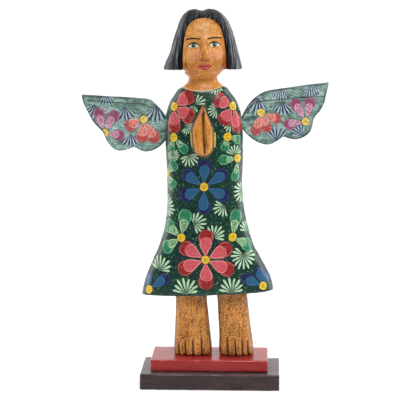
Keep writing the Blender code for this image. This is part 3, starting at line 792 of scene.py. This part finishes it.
def figure_paint():
    material, b, shader = new_paint("figure_paint")
    place = b.place()
    up = b.split(place)[2] / mm
    fine = b.grain(place, 1400, 2)
    middle = b.grain(place, 300, 4)
    broad = b.grain(place, 45, 3)

    # Dress: bottle green with a spatter of pale dots, and the flowers over it.
    green = b.grain(place, 560, 4, 0.7).ramp([(0.32, (6, 28, 24)), (0.5, (16, 50, 40)), (0.66, (38, 86, 66))])
    green = green.cover((12, 34, 38), broad.rise(0.45, 0.7, 0, 0.45))
    spatter = b.dots(place, 420).rise(0.26, 0.15) * b.grain(place, 140, 2).rise(0.44, 0.56)
    green = green.cover((128, 182, 142), spatter * 0.85)
    dress, paint = lay_flowers(
        b, ground=green, leaf=(180, 214, 176), gap=(6, 32, 26), heart=(214, 176, 36),
        gap_share=0, leaf_angle=0.38, leaf_width=0.076, outline=0.8,
    )

    # Skin: orange tan over the wood, stippled with brown that is thickest on the legs, dark paint in the cuts, and
    # painted shade between the toes, under the chin, below the hem and on the sides of the legs.
    on_legs = up.rise(105, 85)
    on_hands = up.rise(222, 228) * up.rise(290, 286)
    coarse = b.grain(b.place(z=0.8), 1320, 2, 0.6)
    thick = b.grain(b.place(z=0.4), 170, 3).rise(0.30, 0.55, 0.35, 1)
    knife_marks = b.grain(b.place(z=0.12), 420, 3, 0.7).rise(0.50, 0.62)
    skin = broad.ramp([(0.30, (190, 112, 38)), (0.5, (218, 144, 62)), (0.72, (234, 172, 96))])
    for colour, share in (
        ((176, 96, 34), middle.rise(0.46, 0.62) * 0.45),
        ((216, 146, 60), on_hands * 0.5),
        ((216, 146, 70), on_legs * 0.6),
        ((118, 62, 20), knife_marks * b.larger(on_hands * 0.75, on_legs * 0.5)),
        ((64, 34, 12), coarse.rise(0.48, 0.56) * thick * ((on_legs - on_hands * 0.15) * 0.68 + 0.32)),
        ((238, 176, 122), b.grain(place, 610, 2).rise(0.58, 0.66) * 0.45),
        # Dark paint in the palm cut, with painted shade in the toe cuts, under the chin, below the hem and down the
        # legs' sides.
        ((34, 18, 10), b.read("cut").rise(0.25, 0.85) * 0.9),
    ):
        skin = skin.cover(colour, share)

    # Face: white eyes with green irises, lid lines, brows and red lips, in the same plain folk style. Its places
    # are in millimetres from between the eyes.
    fx, fz, fy = b.split(b.read("face", "Vector"))
    aside = abs(fx)

    def blob(x, z, cx, cz, rx, rz, soft=0.25):
        dx, dz = (x - cx) / rx, (z - cz) / rz
        return (dx * dx + dz * dz).rise(1 + soft, 1 - soft)

    def arch(half_length, middle_x, rise):
        """Height of an arch over the place, from its ends to its middle."""
        dx = (aside - middle_x) / half_length
        return (1 - dx * dx) * rise

    eye_middle = eye_side / mm
    brow_middle = eye_middle + 0.4
    mouth = (mouth_height - eye_height) / mm
    upper_lid, lower_lid = arch(5.6, eye_middle, 2.5), arch(5.6, eye_middle, -2.1)
    eye = fz.between(lower_lid, upper_lid)
    glint = b.larger(*(blob(fx, fz, 0.7 + eye_x, 1, 0.42, 0.42) for eye_x in (eye_middle, -eye_middle)))
    brow_line = arch(8.5, brow_middle, 1.5) + ((brow_height - eye_height) / mm - 1.2)
    brow = fz.between(brow_line - 0.75, brow_line + 0.75, 0.2)
    upper_lip = arch(7.2, 0, 2.6) + mouth + blob(fx, 0, 0, 0, 1.6, 1, 0.9) * -0.7
    nose_side_shade = aside.between(fz * -0.15 + 2.5, fz * -0.17 + 3.7, 0.3)
    low_line = fz.between(lower_lid - 0.35, lower_lid, 0.2)
    lid_line = fz.between(upper_lid - 0.35, upper_lid + 0.95, 0.18)
    lip_red = middle.ramp([(0.35, (172, 44, 44)), (0.65, (196, 76, 68))])
    face = skin
    for colour, share in (
        # Cheeks and the lower face.
        ((232, 156, 122), blob(aside, fz, 11.5, -9, 7, 5.5, 0.9) * coarse.rise(0.38, 0.56, 0.15, 0.7)),
        ((116, 62, 28), blob(aside, fz, 0, -19, 18, 12, 0.5) * coarse.rise(0.46, 0.58) * 0.6),
        # Painted shade down the sides of the nose and in a line under it, and the nostrils.
        ((134, 70, 28), nose_side_shade * fz.between(-13.8, 4.5, 1) * 0.7),
        ((112, 54, 24), fz.between(-14.9, -14, 0.25) * aside.between(-1, 4.6, 0.5) * 0.55),
        ((70, 30, 14), blob(aside, fz, 3, -14.4, 1.3, 0.65)),
        # The white, iris, pupil and glint of the eye, its lid line and the line under it.
        ((226, 222, 204), eye),
        ((58, 104, 74), blob(aside, fz, eye_middle, 0.25, 2.3, 2.5) * eye),
        ((14, 22, 20), blob(aside, fz, eye_middle, 0.35, 1.25, 1.35) * eye),
        ((236, 238, 226), glint * eye),
        ((26, 14, 12), lid_line * aside.between(eye_middle - 6.2, eye_middle + 6.6, 0.3)),
        ((110, 58, 30), low_line * aside.between(eye_middle - 4.6, eye_middle + 4.6, 0.4) * 0.6),
        # Brow, lips and the line between them.
        ((24, 14, 12), brow * aside.between(brow_middle - 7, brow_middle + 7.2, 0.4)),
        (lip_red, fz.between(arch(6.4, 0, -3.4) + mouth, upper_lip)),
        ((96, 18, 22), fz.between(mouth - 0.32, mouth + 0.32, 0.2) * fx.between(-6.9, 6.9, 0.5)),
    ):
        face = face.cover(colour, share)
    skin = skin.cover(face, fy.rise(0.3, 1.5))

    # Hair: near black, combed in fine grey streaks, with a painted silver sheen on the outer sides.
    combed = b.read("combed", "Vector")
    streak = b.grain(combed, 1.7, 4, 0.8, 0.3)
    hair = streak.ramp([(0.40, (5, 5, 9)), (0.54, (13, 13, 20)), (0.62, (44, 44, 54)), (0.70, (110, 112, 120))])
    silver = streak.ramp([(0.40, (18, 18, 26)), (0.47, (72, 76, 84)), (0.55, (134, 140, 146)), (0.65, (204, 208, 208))])
    # Painted sheen: the streaks turn silver where the hair turns to the outer sides.
    side_sheen = ((streak - 0.5) * 0.5 + b.read("hair_side")).rise(0.70, 0.92) * 0.8
    on_crown = up.rise(350, 364) * streak.rise(0.54, 0.62, 0, 0.5)
    hair = hair.cover(silver, b.larger(side_sheen, on_crown))
    hair = hair.cover((12, 10, 14), b.split(combed)[2].rise(-0.6, -0.95, 0, 0.8))

    # Edges: a dark line where the dress meets skin, a pale one round the neck, and yellow cuffs beside the hands.
    edge = b.read("dress_depth")
    in_hair = b.read("hair_depth").rise(-0.25, 0.25)
    in_dress = edge.rise(-0.2, 0.2)
    at_neck = up.rise(285, 290)
    skin = skin.cover((40, 22, 12), edge.between(-0.8, -0.1, 0.2) * (at_neck * -0.55 + 0.55))
    skin = skin.cover((224, 204, 158), edge.between(-0.9, 0.2, 0.2) * at_neck * 0.8)
    cuffs = edge.between(0.5, 1.35, 0.2) * up.rise(239.5, 241.5) * up.rise(256, 254)
    dress = dress.cover((8, 24, 20), edge.between(-0.5, 0.9, 0.25) * 0.75)
    dress = dress.cover((214, 184, 70), cuffs * fine.rise(0.25, 0.5, 0.4, 1))
    wood = b.grain(b.place(z=0.22), 520, 3)
    varnish(
        b, shader, colour=skin.cover(dress, in_dress).cover(hair, in_hair),
        roughness=middle.rise(0.3, 0.7, 0.24, 0.42) + (1 - in_dress) * 0.10, gloss=in_hair * -0.2 + 0.3,
        coat=(in_dress - in_hair) * 0.12 + 0.13, coat_roughness=0.14,
        height=streak * in_hair * 3 + paint * in_dress * 0.5 + wood * 0.8, depth=0.18 * mm,
    )
    return material


figure.data.materials.append(figure_paint())
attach(figure, "root")
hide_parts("figure")


# The wings are flat boards of the same pine, each sawn and whittled to its own outline, let into the sides of
# the figure by a tongue. A line is cut along the top edge, and flowers and leaf fans are painted below it.
wing_flowers = {
    "wing_left": {
        "front": [
            ("coral", -61.4, 239.7, 6.2, [(-158, 20.4), (-98, 23.5), (-62, 27)]),
            ("mauve", -101.3, 227.3, 5.6, [(104, 26.2), (60, 25.4), (-11, 20.2)]),
        ],
        "back": [("coral", -64, 238, 5.6, [(200, 20), (-98, 22), (-50, 22)])],
    },
    "wing_right": {
        "front": [
            ("coral", 56, 242.2, 5.2, [(-23, 21.5), (-108, 23.5), (-71, 20.8)]),
            ("mauve", 100.4, 231.8, 5.5, [(118, 26.2), (75, 25.6), (-173, 21.9)]),
        ],
        "back": [("coral", 62, 240, 5.6, [(-20, 20), (-109, 22), (-66, 20)])],
    },
}
wing_fans = {
    "wing_left": {
        "front": [
            (-98.2, 269.5, -86, 16, 6, 0.7), (-79.8, 253.8, -84, 16.5, 5), (-47.4, 253.6, -91, 19, 5),
            (-109.4, 256.4, -112, 16, 6), (-75.1, 226.2, -93, 15.5, 5),
        ],
        "back": [(-85, 256, -90, 14, 6), (-95, 228, 80, 14, 6)],
    },
    "wing_right": {
        "front": [
            (76.8, 269.6, -93, 16.5, 7, 0.6), (106.8, 272.5, -99, 16, 7, 0.6), (77.6, 252.8, -88, 15.5, 6),
            (54, 257.6, -112, 19.5, 6), (70.8, 213.1, 88, 16, 6), (98.4, 216.2, 128, 16, 6, 0.8),
        ],
        "back": [(88, 258, -90, 14, 6), (95, 226, 90, 12, 6)],
    },
}
top_lines = {
    "wing_left": [(-115.6, 260), (-98.6, 258.4), (-80.6, 256.3), (-62.6, 255.1), (-52.7, 250.8)],
    "wing_right": [(52.4, 252.1), (58.5, 253.9), (84, 255), (98.4, 256), (117.3, 256.4)],
}


def wing_paint():
    """Grey green brushed out dry along the wing, worn over the flowers and dark round the rim."""
    material, b, shader = new_paint("wing_paint")
    place = b.place()
    broad = b.grain(b.place(x=0.45), 130, 5, 0.65, 0.4)
    streak = b.grain(b.place(x=0.22), 480, 4, 0.7)
    dry = b.grain(b.place(x=0.5), 330, 5, 0.7)
    fine = b.grain(place, 700, 3, 0.65)
    ground = broad.ramp([
        (0.30, (58, 86, 82)), (0.43, (108, 144, 130)), (0.55, (146, 180, 170)), (0.68, (200, 220, 218)),
    ])
    ground = ground.cover((40, 60, 58), streak.rise(0.50, 0.66, 0, 0.7))
    ground = ground.cover((48, 66, 64), fine.rise(0.52, 0.62, 0, 0.55))
    ground = ground.cover((160, 184, 178), fine.rise(0.42, 0.34, 0, 0.5))
    colour, paint = lay_flowers(
        b, ground=ground, leaf=(182, 206, 220), gap=(22, 34, 60), heart=(246, 216, 104),
        gap_share=1, leaf_angle=0.33, leaf_width=0.053, outline=0.5,
    )
    colour = colour.cover(ground, dry.rise(0.54, 0.68, 0, 0.45))
    colour = colour.cover((60, 58, 66), fine.rise(0.56, 0.66, 0, 0.4))
    colour = colour.cover((222, 222, 222), dry.rise(0.44, 0.34, 0, 0.4))
    colour = colour.cover((30, 46, 44), b.read("line") * streak.rise(0.3, 0.6, 0.4, 0.95))
    near_rim = (b.grain(place, 150, 3) * -2.2 + b.read("from_rim")).rise(0.8, -0.4)
    colour = colour.cover((22, 28, 32), near_rim * b.grain(place, 42, 1).rise(0.38, 0.6, 0.35, 0.92))
    varnish(
        b, shader, colour, roughness=broad.rise(0.3, 0.7, 0.34, 0.5), gloss=0.35, coat=0.12, coat_roughness=0.2,
        height=paint * 0.5 + streak * 1.2, depth=0.18 * mm,
    )
    return material


# How far the outer edge of each wing swings wide of the plain solid, in millimetres by height, how far out the
# swing begins and is full, and how far the root swings.
wing_swings = {
    "wing_left": [
        (212, -2.4), (218, -1.8), (224, -1.4), (228, -1.8), (232, -3.2), (236, -3.6),
        (241, -3.2), (248, -2.4), (264, -1.9),
    ],
    "wing_right": [(222, 1.5), (228, 1.1), (238, 1.6), (243, 3.1), (250, 3.1), (256, 2), (268, 2.2), (275, 0.6)],
}
swing_reach = {"wing_left": (58, 90), "wing_right": (76, 104)}
root_swing = {"wing_left": 0.3, "wing_right": -1.5}
root_reach = (50, 62)
droop_top, droop_height = 263 * mm, 45 * mm
wing_middle = 10 * mm
wing_finish = wing_paint()
for node in ("wing_left", "wing_right"):
    wing_mesh = carving_blank(node, 0.62 * mm)
    sand(wing_mesh, wing_mesh.verts, 5)
    wing_mesh.normal_update()
    at = places(wing_mesh)
    swing_heights, swing_widths = zip(*wing_swings[node])
    outward = np.interp(np.abs(at[:, 0]) / mm, swing_reach[node], (0, 1))
    at_root = np.interp(np.abs(at[:, 0]) / mm, root_reach, (1, 0))
    swing = (np.interp(at[:, 2] / mm, swing_heights, swing_widths) * outward + root_swing[node] * at_root) * mm
    droop = 1.3 * mm * np.clip((droop_top - at[:, 2]) / droop_height, 0, 1)
    at[:, 0] += swing
    at[:, 2] -= droop
    line_x, line_z = zip(*top_lines[node])
    to_line = at[:, 2] / mm - np.interp(at[:, 0] / mm, line_x, line_z)
    past_ends = np.maximum(line_x[0] - at[:, 0] / mm, at[:, 0] / mm - line_x[-1])
    line = hill(to_line, 0.8) * np.clip(1 - past_ends / 3, 0, 1)
    uneven = np.array([noise.noise(Vector(p) * 40) + 0.4 * noise.noise(Vector(p) * 140) for p in at]) * 0.22 * mm
    flat_face = np.abs(at[:, 1] - wing_middle) > 3 * mm
    carve(wing_mesh, uneven - 0.5 * mm * line * flat_face, swing, -droop)
    faces_side = np.abs([vert.normal.y for vert in wing_mesh.verts]) < 0.6
    wing = finished(wing_mesh, "carved_" + node)
    rim = KDTree(int(faces_side.sum()))
    for index, (px, py, pz) in enumerate(at[faces_side]):
        rim.insert((px, 0, pz), index)
    rim.balance()
    in_front = at[:, 1] < wing_middle
    keep(wing.data, "from_rim", [rim.find((px, 0, pz))[2] / mm for px, py, pz in at])
    keep(wing.data, "line", line * in_front)
    sides = {
        "front": np.stack([np.where(in_front, at[:, 0], elsewhere), at[:, 2]], axis=1),
        "back": np.stack([np.where(in_front, elsewhere, at[:, 0]), at[:, 2]], axis=1),
    }
    paint_strokes(wing.data, sides, wing_flowers[node], wing_fans[node], 4.1)
    wing.data.materials.append(wing_finish)
    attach(wing, "root")
    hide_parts(node)


# The plinth is two sawn pine boards, one on the other. The upper is painted glossy red, the lower is stained
# dark brown and varnished. Their edges are eased by hand, so no edge is quite straight.
left_overhang, right_overhang = 1.4 * mm, 1 * mm


def eased_board(node, name, ease):
    low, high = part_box(node)
    low, high = low - Vector((left_overhang, 0, 0)), high + Vector((right_overhang, 0, 0))
    bm = bmesh.new()
    bmesh.ops.create_cube(bm, size=1)
    bmesh.ops.scale(bm, vec=high - low, verts=bm.verts)
    bmesh.ops.translate(bm, vec=(high + low) / 2, verts=bm.verts)
    bmesh.ops.bevel(bm, geom=bm.edges[:], offset=ease, affect="EDGES", segments=4, profile=0.5, material=-1)
    for cuts in range(5):
        long_edges = [edge for edge in bm.edges if edge.calc_length() > 4 * mm]
        bmesh.ops.subdivide_edges(bm, edges=long_edges, cuts=1, use_grid_fill=True)
    bm.normal_update()
    for vert in bm.verts:
        lift = noise.noise(vert.co * 30) * 0.18 + noise.noise(vert.co * 110) * 0.07 - 0.12
        if vert.co.z > low.z + ease:
            vert.co += vert.normal * lift * mm
    bmesh.ops.recalc_face_normals(bm, faces=bm.faces)
    bm.normal_update()
    normals = np.array([vert.normal for vert in bm.verts])
    board = finished(bm, name)
    keep(board.data, "edge_wear_and_highlight", np.clip(6 - 6 * np.abs(normals).max(axis=1), 0, 1))
    keep(board.data, "faces_up", normals[:, 2])
    return board


def board_paint(name, ground, dark, worn_colour, rubbed_and_sheen_colour, roughness, coat, gloss, dust_and_sheen):
    """Paint that shows the grain, rubbed through at the edges with a painted highlight there, and lighter on top from
    dust and a painted sheen.
    """
    material, b, shader = new_paint(name)
    place = b.place()
    lines = b.grain(b.place(x=0.10), 420, 4, 0.6, 0.6)
    colour = b.add("Mix", {0: lines.rise(0.35, 0.7), 6: dark, 7: ground}, 2, data_type="RGBA")
    colour = colour.cover(worn_colour, b.grain(b.place(x=0.4), 60, 3).rise(0.4, 0.7, 0, 0.35))
    # Lighter along the eased edges: wear, and a painted highlight.
    colour = colour.cover(rubbed_and_sheen_colour, b.read("edge_wear_and_highlight") * b.grain(place, 90, 4).rise(0.44, 0.60, 0.1, 0.8))
    # Lighter on the top faces: dust, and a painted sheen.
    dust_and_top_sheen = b.grain(place, 380, 4, 0.7).rise(0.36, 0.62, 0.35 * dust_and_sheen, 1.4 * dust_and_sheen)
    colour = colour.cover(rubbed_and_sheen_colour, b.read("faces_up").rise(0.7, 0.95) * dust_and_top_sheen)
    varnish(b, shader, colour, lines.rise(0.3, 0.75, *roughness), gloss, coat, 0.12, height=lines, depth=0.12 * mm)
    return material


upper_board = eased_board("plinth_upper", "painted_upper_board", 1.3 * mm)
upper_board.data.materials.append(board_paint(
    "red_paint", (160, 30, 32), (136, 18, 24), (166, 44, 44), (214, 122, 122),
    roughness=(0.14, 0.26), coat=0.09, gloss=0.21, dust_and_sheen=0.10,
))
lower_board = eased_board("plinth_lower", "stained_lower_board", 1.7 * mm)
lower_board.data.materials.append(board_paint(
    "dark_stain", (58, 38, 38), (32, 20, 22), (72, 50, 50), (122, 108, 108),
    roughness=(0.22, 0.42), coat=0.08, gloss=0.26, dust_and_sheen=0.40,
))
for board, node, slot in ((upper_board, "plinth_upper", "red_paint"), (lower_board, "plinth_lower", "dark_stain")):
    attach(board, "root")
    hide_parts(node)


# The studio: a white sweep under and behind the angel, two tall soft boxes at the sides and one above.
floor_front, floor_back, floor_side = -0.36, 22, 6
floor_mesh = bmesh.new()
bmesh.ops.create_grid(floor_mesh, x_segments=8, y_segments=16, size=0.5)
bmesh.ops.scale(floor_mesh, vec=(2 * floor_side, floor_back - floor_front, 1), verts=floor_mesh.verts)
bmesh.ops.translate(floor_mesh, vec=(0, (floor_back + floor_front) / 2, 0), verts=floor_mesh.verts)
floor = finished(floor_mesh, "floor")
floor_paint, b, shader = new_paint("white_sweep")
from_plinth = b.add("VectorMath", [b.place()], "Value", operation="LENGTH")
b.feed(shader["Base Color"], (0.92, 0.92, 0.92, 1))
b.feed(shader["Roughness"], 0.9)
b.feed(shader["Specular IOR Level"], 0.1)
b.feed(shader["Emission Color"], (1, 1, 1, 1))
# The sweep glows, less near the plinth: a painted soft shadow round the base.
b.feed(shader["Emission Strength"], from_plinth.rise(0.12, 0.6, 0.30, 0.46))
floor.data.materials.append(floor_paint)


def soft_box(name, place, size, power, aim=(0, 0, 0.2)):
    """A lamp in watts that faces the middle of the angel, with its place and size in metres."""
    light = bpy.data.objects.new(name, bpy.data.lights.new(name, "AREA"))
    light.data.shape = "RECTANGLE"
    light.data.size, light.data.size_y = size
    light.data.energy = power
    light.location = place
    light.rotation_euler = (Vector(aim) - Vector(place)).to_track_quat("-Z", "Y").to_euler()
    bpy.context.scene.collection.objects.link(light)


soft_box("left_soft_box", (-1.3, 0.25, 0.6), (0.7, 1.3), 7.5)
soft_box("right_soft_box", (1.3, 0.25, 0.6), (0.7, 1.3), 9)
soft_box("top_soft_box", (0.35, -1.3, 1.5), (1.1, 0.9), 26.5)

# The room is dim in front and bright behind the angel, but the camera sees it white all round.
world = bpy.data.worlds.new("white_studio")
bpy.context.scene.world = world
world.use_nodes = True
b = Brush(world.node_tree)
background = world.node_tree.nodes["Background"].inputs
behind = b.split(b.add("TexCoord", output="Generated"))[1].rise(-0.5, 0.35, 0.16, 1.05)
b.feed(background["Strength"], b.larger(behind, b.add("LightPath", output="Is Camera Ray")))
b.feed(background["Color"], (1, 1, 1, 1))
bpy.context.scene.view_settings.view_transform = "Standard"
